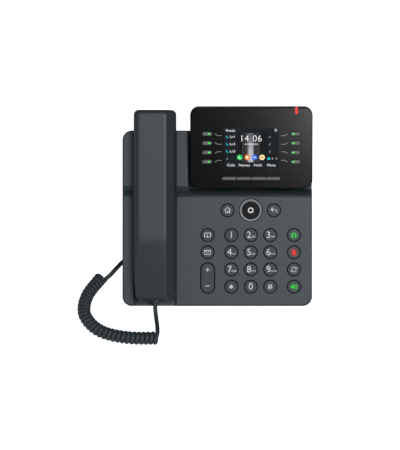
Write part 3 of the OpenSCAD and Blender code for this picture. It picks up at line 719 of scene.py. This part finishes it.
rocker = Part("volume_rocker_look", SLOPE, KEY)
x, y = SIDE_X[0], VOLUME_Y
rocker.add(slab(14.5, 32.3, 7.25, [(-4.4, 0)] + round_over(KEY_TOP, 0.9), x, y, 16))
rocker.add(ribbon([(x - 2.5, y + 8.8), (x + 2.5, y + 8.8)], 0.6, Z), LEGEND)
rocker.add(ribbon([(x, y + 6.3), (x, y + 11.3)], 0.6, Z + 0.005), LEGEND)
rocker.add(ribbon([(x - 2.5, y - 8.4), (x + 2.5, y - 8.4)], 0.6, Z), LEGEND)
stands_for(rocker.make(), "volume_rocker", "key_grey", "volume_rocker")

edge = [(9.5, -4.5), (9.5, 0.95), (9.6, 1.14), (9.9, 1.24), (10.9, 1.36), (11.5, 1.36), (11.8, 1.22),
        (11.97, 0.9), (12.0, 0.4), (12.0, -4.5)]
nav_ring = Part("nav_ring_look", SLOPE, RING).add(lathe(edge, *NAV)).make()
stands_for(nav_ring, "nav_ring", "ring_grey", "nav_ring")
ok = Part("key_ok_look", SLOPE, GLOSS)
ok.add(slab(18.4, 18.4, 9.2, [(-4.2, 0)] + round_over(0.9, 0.4), *NAV, n=20))
ok.add(lathe([(1.75, 0.86), (1.75, 0.92), (3.05, 0.92), (3.05, 0.86)], *NAV, n=48), LEGEND)
stands_for(ok.make(), "key_ok", "gloss_black", "key_ok")


# ---- handset ----
def clamp(v, a=0.0, b=1.0):
    return max(a, min(b, v))


def soft_min(a, b, k):
    h = clamp(0.5 + 0.5 * (b - a) / k)
    return b + (a - b) * h - k * h * (1 - h)


def soft_max(a, b, k):
    return -soft_min(-a, -b, k)


H_LOW, H_HIGH, H_HALF = 6.6, 208.6, 22.7
BEND_Y = 71.24
CREST, SEAM_Z = 25, 10.0
CUP_Z, ARCH_Z = -7.4, 6
ARCH_LOW, ARCH_HIGH, ARCH_ROUND = 33.6, 159.6, 15


def outer_height(y):
    """How high the handset's outer face is at y: it rises to the bend and is level beyond it."""
    h = soft_min(16 + 9 * (y - H_LOW) / (BEND_Y - H_LOW), CREST, 0.5)
    d = H_HIGH - y
    if d < 6:
        h -= 4 * (1 - math.sqrt(1 - (1 - d / 6) ** 2))
    d = y - H_LOW
    if d < 3:
        h -= 2.6 * (1 - math.sqrt(1 - (1 - d / 3) ** 2))
    return h


def under_height(y):
    """How low the handset's inner side reaches at y: two cups with an arch between them."""
    end = min(y - H_LOW, H_HIGH - y)
    low = CUP_Z + 1.8 * (1 - math.sqrt(1 - (1 - clamp(end / 2.5)) ** 2))
    d = min(y - ARCH_LOW, ARCH_HIGH - y)
    return low + (ARCH_Z - low) * math.sqrt(1 - (1 - clamp(d / ARCH_ROUND)) ** 2)


def half_width(y, left):
    """Half the handset's width at y, with its left side drawn in towards the foot."""
    d = min(y - H_LOW, H_HIGH - y)
    w = H_HALF
    if d < 5.3:
        w -= 5.3 - math.sqrt(max(0, 5.3 ** 2 - (5.3 - d) ** 2))
    if left and y < 45:
        w -= 2.4 * clamp((45 - y) / 38) ** 1.4
    return w


def rounded_line(points, r, n=5):
    """A line through points with its inner corners rounded."""
    p = [Vector((x, z)) for x, z in points]
    out = [p[0]]
    for a, b, c in zip(p, p[1:], p[2:]):
        u, v = (a - b), (c - b)
        q = min(r, u.length * 0.45, v.length * 0.45)
        u, v = b + u.normalized() * q, b + v.normalized() * q
        out += [(1 - t) ** 2 * u + 2 * t * (1 - t) * b + t * t * v for t in [k / n for k in range(n + 1)]]
    return out + [p[-1]]


def dense(line, step):
    out = [line[0]]
    for a, b in zip(line, line[1:]):
        k = max(1, math.ceil((b - a).length / step))
        out += [a.lerp(b, (i + 1) / k) for i in range(k)]
    return out


UPPER = dense(rounded_line([(-H_HALF, SEAM_Z), (-H_HALF, 18), (-21.1, 21), (-18.0, CREST), (11.3, CREST),
                            (20.7, 19), (H_HALF, 12), (H_HALF, SEAM_Z)], 1.6), 1.1)
LOWER = dense(rounded_line([(H_HALF, SEAM_Z), (H_HALF, 0.8), (21.3, 0.8), (21.3, CUP_Z), (-21.3, CUP_Z),
                            (-21.3, 0.8), (-H_HALF, 0.8), (-H_HALF, SEAM_Z)], 1.2), 1.3)


def stations():
    """Where the handset's sections stand: close together at its ends, its bend and its arch."""
    ys = [H_LOW + d for d in (0.02, 0.15, 0.4, 0.8, 1.3, 1.9, 2.5, 3.2, 4.2, 5.3)]
    ys += [H_HIGH - d for d in (0.02, 0.15, 0.4, 0.8, 1.3, 2.0, 2.8, 3.7, 4.7, 6.0)]
    ys += [13.0 + 1.5 * k for k in range(125)]
    ys += [BEND_Y + 0.4 * k for k in range(-4, 5)]
    for foot, way_in in ((ARCH_LOW, 1), (ARCH_HIGH, -1)):
        ys += [foot + way_in * d for d in (0, 0.05, 0.2, 0.5, 0.9, 1.4)]
    return sorted(set(round(v, 3) for v in ys if H_LOW < v < H_HIGH))


SEAM_STEP = 0.35


def shell_ring(line, y, upper):
    """One section of the handset at y, from the line of its middle section."""
    ring = []
    for p in line:
        scale = half_width(y, p.x < 0) / H_HALF
        if upper:
            follow = clamp((p.x - 4) / 7)
            follow = follow * follow * (3 - 2 * follow)
            drop = (CREST - outer_height(y)) * clamp((p.y - SEAM_Z) / 2) * follow
            z = max(soft_min(p.y - drop, outer_height(y), 0.9), SEAM_Z)
        else:
            z = min(soft_max(p.y, under_height(y), 0.9), SEAM_Z)
        x = p.x * scale
        edge = abs(p.y - SEAM_Z)
        if edge < SEAM_STEP and abs(p.x) > 22:
            x -= math.copysign(0.3 * (1 - edge / SEAM_STEP), p.x)
        ring.append((x, y, z))
    return ring


def with_seam(line):
    """The line with two more points close to each end, for the seam's small step."""
    a, b = line[0], line[-1]
    s = SEAM_STEP if line[1].y > a.y else -SEAM_STEP
    return [a, Vector((a.x, a.y + s))] + line[1:-1] + [Vector((b.x, b.y + s)), b]


grip = Part("handset_grip_look", HANDSET, SHELL)
grip.add(loft([shell_ring(with_seam(UPPER), y, True) for y in stations()]))
stands_for(grip.make(28), "handset", "handset_shell", "handset_grip")
cups = Part("handset_cups_look", None, INNER)
cups = cups.add(loft([shell_ring(with_seam(LOWER), y, False) for y in stations()])).make()
holes = Part("cut", None, INNER)
for k in range(7):
    a = math.radians(60 * k)
    q = 4.5 if k else 0
    holes.add(slab(1.7, 1.7, 0.85, [(-9, 0), (-5.0, 0)], q * math.cos(a), 181.6 + q * math.sin(a), 6))
holes.add(slab(7, 1.5, 0.75, [(-9, 0), (-5.0, 0)], 0, 30.6, 6))
holes.add(block(-4.05, 4.05, 4, 20.6, 1.55, 8.45))
carve(cups, HANDSET, [holes], 28)
stands_for(cups, "handset", "handset_inner", "handset_cups")

# ---- screen unit ----
FACE = 14.5
PICTURE_Y = 31.75
BEAM_X = 35.65
LINE_KEY_X, LINE_KEY_PITCH = 47.0, 10
LINE_KEY_Y = [32.15 + (1.5 - k) * LINE_KEY_PITCH for k in range(4)]
SOFT_KEY_Y, SOFT_KEY_PITCH = -0.9, 15.75
PICTURE_W, PICTURE_H = 57.6, 43.2
bezel = Part("display_bezel_look", None, BEZEL)
bezel_levels = [(9.5, 0.3), (9.8, 0)] + round_over(FACE, 1.1)
bezel = bezel.add(slab(130.2, 87.5, 8.8, bezel_levels, 0, PICTURE_Y, 16)).make()
slots = Part("cut", None, BEZEL)
slot_levels = [(11.3, 0), (FACE - 0.25, 0)] + flared(FACE, 0.25)
slots.add(slab(57.8, 43.4, 0.6, [(14.1, 0), (16, 0)], 0, PICTURE_Y))
for s in (-1, 1):
    for y in LINE_KEY_Y:
        slots.add(slab(10.9, 4.7, 2.35, slot_levels, LINE_KEY_X * s, y))
slots.add(slab(63.4, 3.9, 1.95, slot_levels, 0, SOFT_KEY_Y))
slots.add(slab(2.8, 12, 1.35, [(9, 0), (16, 0)], 48.0, 74.2))
carve(bezel, DISPLAY, [slots])
stands_for(bezel, "display", "gloss_black", "display_bezel")


def calculate(tree, operation, *values):
    """One calculation on plain numbers and on the values of other nodes."""
    node = tree.nodes.new("ShaderNodeMath")
    node.operation = operation
    for socket, value in zip(node.inputs, values):
        if isinstance(value, float):
            socket.default_value = value
        else:
            tree.links.new(value, socket)
    return node.outputs[0]


def wallpaper():
    """Upright soft beams of light on black, brightest in the middle."""
    material, tree, shader = new_material("screen_wallpaper")
    place = tree.nodes.new("ShaderNodeTexCoord").outputs["Object"]
    split = tree.nodes.new("ShaderNodeSeparateXYZ")
    tree.links.new(place, split.inputs[0])
    sideways = calculate(tree, "ABSOLUTE", calculate(tree, "SUBTRACT", split.outputs["X"], BEAM_X * MM))
    beam = map_range(tree, sideways, 1.0 * MM, 4.2 * MM, 0.5, 0.0, "SMOOTHERSTEP")
    reach = map_range(tree, sideways, 0.0, 14 * MM, 1.0, 0.06, "SMOOTHSTEP")
    # noise that changes only from left to right draws thin upright lines
    upright = tree.nodes.new("ShaderNodeMapping")
    upright.inputs["Scale"].default_value = (1, 0, 0)
    tree.links.new(place, upright.inputs["Vector"])
    lines = tree.nodes.new("ShaderNodeTexNoise")
    lines.inputs["Scale"].default_value = 420
    tree.links.new(upright.outputs["Vector"], lines.inputs["Vector"])
    thin = map_range(tree, lines.outputs["Fac"], 0.42, 0.68, 0.0, 0.16)
    low, high = [(DISPLAY @ Vector((0, PICTURE_Y + v, FACE))).z * MM for v in (-6, 13)]
    upward = map_range(tree, split.outputs["Z"], low, high, 1.0, 0.2, "SMOOTHSTEP")
    light = calculate(tree, "ADD", calculate(tree, "MULTIPLY", beam, upward),
                      calculate(tree, "MULTIPLY", thin, reach))
    tree.links.new(light, shader.inputs["Emission Strength"])
    shader.inputs["Emission Color"].default_value = (0.92, 0.93, 1.0, 1)
    shader.inputs["Base Color"].default_value = srgb(8, 9, 11)
    tree.links.new(spread(tree, noise(tree, 900), 0.12, 0.2), shader.inputs["Roughness"])
    return material


PANEL = glowing("screen_panel", srgb(18, 24, 31), 0.9)
WHITE = glowing("screen_white", srgb(232, 234, 236), 1.0)
DIM = glowing("screen_grey", srgb(150, 155, 160), 0.9)
CYAN = glowing("screen_cyan", srgb(32, 196, 204), 1.0)


def pic(fx, fy):
    """A place in the picture, from its upper left corner."""
    return (fx - 0.5) * PICTURE_W, PICTURE_Y + (0.5 - fy) * PICTURE_H


def patch(fx0, fx1, fy0, fy1, z, r=0.2):
    (x0, y0), (x1, y1) = pic(fx0, fy1), pic(fx1, fy0)
    return slab(x1 - x0, y1 - y0, r, [(z - 0.06, 0), (z, 0)], (x0 + x1) / 2, (y0 + y1) / 2, 3)


screen = Part("screen_look", DISPLAY, wallpaper())
screen.add(slab(PICTURE_W, PICTURE_H, 0.5, [(14.0, 0), (14.38, 0), (14.42, 0.04)], 0, PICTURE_Y))
Z1, Z2 = 14.44, 14.47
screen.add(patch(0.0, 1.0, 0.0, 0.126, Z1), PANEL)
screen.add(patch(0.0, 1.0, 0.85, 1.0, Z1), PANEL)
for row in range(4):
    screen.add(patch(0.0, 0.22, 0.13 + 0.18 * row, 0.305 + 0.18 * row, Z1), PANEL)
    if row < 3:
        screen.add(patch(0.79, 1.0, 0.13 + 0.18 * row, 0.305 + 0.18 * row, Z1), PANEL)
screen.add(lettering("Ready", 3.8, *pic(0.03, 0.062), Z2 - 0.02, align="LEFT"), WHITE)
screen.add(ribbon(shifted(arc(0, 0, 1.2, 200, -20), *pic(0.95, 0.05)), 0.35, Z2), WHITE)
screen.add(ribbon(shifted([(-1.1, -0.2), (0, -1.6), (1.1, -0.2)], *pic(0.95, 0.05)), 0.35, Z2), WHITE)
for row in range(3):
    x, y = pic(0.055, 0.22 + 0.18 * row)
    screen.add(ribbon(shifted([(-1.0, 1.2), (-0.7, 0.1), (0.1, -0.9), (1.1, -1.3)], x, y), 0.75, Z2), CYAN)
    x, y = pic(0.10, 0.22 + 0.18 * row)
    screen.add(lettering(f"Ln{row + 1}", 3.8, x, y, Z2 - 0.02, align="LEFT"), WHITE)
for fx, fy in ((0.055, 0.76), (0.84, 0.22), (0.84, 0.40), (0.84, 0.58)):
    x, y = pic(fx, fy)
    screen.add(ribbon(shifted([(-0.9, -1.2), (-0.1, -0.1), (0.9, 1.2)], x, y), 0.4, Z2), DIM)
    screen.add(ribbon(shifted([(-0.7, -0.9), (0.8, -0.9)], x, y), 0.35, Z2), DIM)
screen.add(lettering("14", 9.8, *pic(0.37, 0.265), Z2 - 0.02, 0.012), WHITE)
screen.add(lettering("06", 9.8, *pic(0.61, 0.265), Z2 - 0.02, 0.012), WHITE)
screen.add(lettering("4 MONDAY", 2.7, *pic(0.5, 0.405), Z2 - 0.02), WHITE)
for fx, colour in ((0.285, srgb(24, 190, 84)), (0.425, srgb(238, 128, 44)), (0.56, srgb(34, 104, 226)),
                   (0.70, srgb(240, 214, 158))):
    x, y = pic(fx, 0.73)
    screen.add(slab(5.8, 5.8, 2.9, [(Z1 - 0.04, 0), (Z1, 0)], x, y),
               glowing(f"screen_icon_{round(fx * 1000)}", colour, 1.0))
x, y = pic(0.285, 0.73)
screen.add(ribbon(shifted([(-1.1, 1.2), (-0.8, 0.0), (0.2, -1.0), (1.3, -1.2)], x, y), 0.8, Z2), WHITE)
x, y = pic(0.425, 0.73)
screen.add(slab(2.4, 2.4, 0.9, [(Z2 - 0.04, 0), (Z2, 0)], x, y), WHITE)
x, y = pic(0.56, 0.73)
screen.add(ribbon(shifted([(-1.5, -0.7), (-0.7, 0.7), (0, -0.5), (0.7, 0.7), (1.5, -0.7)], x, y), 0.45, Z2),
           WHITE)
x, y = pic(0.70, 0.73)
screen.add(ribbon(shifted([(-1.6, 0), (1.6, 0)], x, y), 0.8, Z2), PANEL)
screen.add(patch(0.80, 0.845, 0.735, 0.79, Z2), CYAN)
screen.add(lettering("2", 2.8, *pic(0.89, 0.76), Z2 - 0.02), WHITE)
screen.add(lettering("3", 2.8, *pic(0.96, 0.76), Z2 - 0.02), WHITE)
for fx, word in ((0.125, "Calls"), (0.37, "Names"), (0.62, "Hold"), (0.87, "Menu")):
    screen.add(lettering(word, 4.0, *pic(fx, 0.925), Z2 - 0.02), WHITE)
stands_for(screen.make(), "display", "screen", "lcd_panel")

marks = Part("display_marks_look", DISPLAY, MARK)
for s in (-1, 1):
    for row, key_end, screen_end in zip(LINE_KEY_Y, (0, 0.7, -1.0, -0.4), (-1.9, -1.2, 0.7, 1.5)):
        line = [(38.7, row + key_end), (35.9, row + screen_end), (31.6, row + screen_end)]
        marks.add(ribbon([(s * x, y) for x, y in line], 0.55, FACE + 0.03))
marks = marks.make()
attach(marks, "display")

LED = glowing("line_led", srgb(76, 224, 52), 1.0)
for k in range(8):
    s = -1 if k < 4 else 1
    x, y = LINE_KEY_X * s, LINE_KEY_Y[k % 4]
    part = Part(f"line_key_{k + 1}_look", DISPLAY, LINE_KEY)
    part.add(slab(10.2, 4.0, 2.0, [(12.4, 0)] + round_over(15.0, 0.6), x, y, 12))
    part.add(slab(2.8, 1.5, 0.6, [(14.9, 0), (15.0, 0), (15.06, 0.12)], x - s * 2.2, y, 6), LED)
    stands_for(part.make(), f"line_key_{k + 1}", "line_key_grey", f"line_key_{k + 1}")
for k in range(4):
    x = (k - 1.5) * SOFT_KEY_PITCH
    end = -1 if k == 0 else 1 if k == 3 else 0
    part = Part(f"soft_key_{k + 1}_look", DISPLAY, LINE_KEY)
    levels = [(12.4, 0)] + round_over(14.9, 0.5)
    rings = []
    for z, i in levels:
        ring = rounded(15.05 - 2 * i, 3.2 - 2 * i, 1.6 - i if end else 0.3, x, SOFT_KEY_Y, 8)
        # only the outer end of an outer key is round
        if end:
            square = rounded(15.05 - 2 * i, 3.2 - 2 * i, 0.3, x, SOFT_KEY_Y, 8)
            ring = [a if (a[0] - x) * end > 0 else b for a, b in zip(ring, square)]
        rings.append([(a, b, z) for a, b in ring])
    part.add(loft(rings))
    stands_for(part.make(), f"soft_key_{k + 1}", "line_key_grey", f"soft_key_{k + 1}")

lamp = Part("message_lamp_look", DISPLAY, glowing("lamp_glow", srgb(255, 66, 62), 1.0))
lamp.add(slab(2.5, 7.4, 1.2, [(9.6, 0)] + round_over(FACE + 0.2, 0.5), 48.0, 72.0, 8))
stands_for(lamp.make(), "display", "lamp_red", "message_lamp")

# ---- floor and light ----
FLOOR_HALF = 9000
floor_material, tree, shader = new_material("floor")
shader.inputs["Base Color"].default_value = (0.9, 0.9, 0.9, 1)
shader.inputs["Specular IOR Level"].default_value = 0.0
shader.inputs["Emission Color"].default_value = (1, 1, 1, 1)
shader.inputs["Emission Strength"].default_value = 0.97
tree.links.new(spread(tree, noise(tree, 3), 0.85, 0.95), shader.inputs["Roughness"])
floor = Part("floor", WORLD, floor_material)
floor = floor.add(block(-FLOOR_HALF, FLOOR_HALF, -FLOOR_HALF, FLOOR_HALF, -20, 0)).make()
floor.visible_glossy = False


def softbox(name, spot, target, width, height, power):
    light = bpy.data.lights.new(name, "AREA")
    light.shape = "RECTANGLE"
    light.size = width
    light.size_y = height
    light.energy = power
    obj = bpy.data.objects.new(name, light)
    bpy.context.scene.collection.objects.link(obj)
    obj.location = Vector(spot)
    obj.rotation_euler = (Vector(target) - Vector(spot)).to_track_quat("-Z", "Y").to_euler()
    return obj


middle = on_slope(0, 90, 0) * MM
softbox("key", on_slope(600, 400, 2500) * MM, middle, 0.85, 0.85, 25.5)
softbox("fill", on_slope(-700, 60, 800) * MM, middle, 0.5, 0.8, 1.05)
# a small light for the black screen unit alone, which draws its sheen out towards the upper right
sheen = softbox("sheen", on_slope(216, 100, 560) * MM, on_slope(58, 236, 0) * MM, 0.2, 0.2, 4.3)
lit_by_sheen = bpy.data.collections.new("lit_by_sheen")
lit_by_sheen.objects.link(bezel)
sheen.light_linking.receiver_collection = lit_by_sheen

world = bpy.data.worlds.new("studio")
bpy.context.scene.world = world
world.use_nodes = True
background = world.node_tree.nodes["Background"]
background.inputs["Color"].default_value = (1, 1, 1, 1)
background.inputs["Strength"].default_value = 0.22

bpy.context.scene.view_settings.view_transform = "Standard"
bpy.context.scene.view_settings.look = "None"
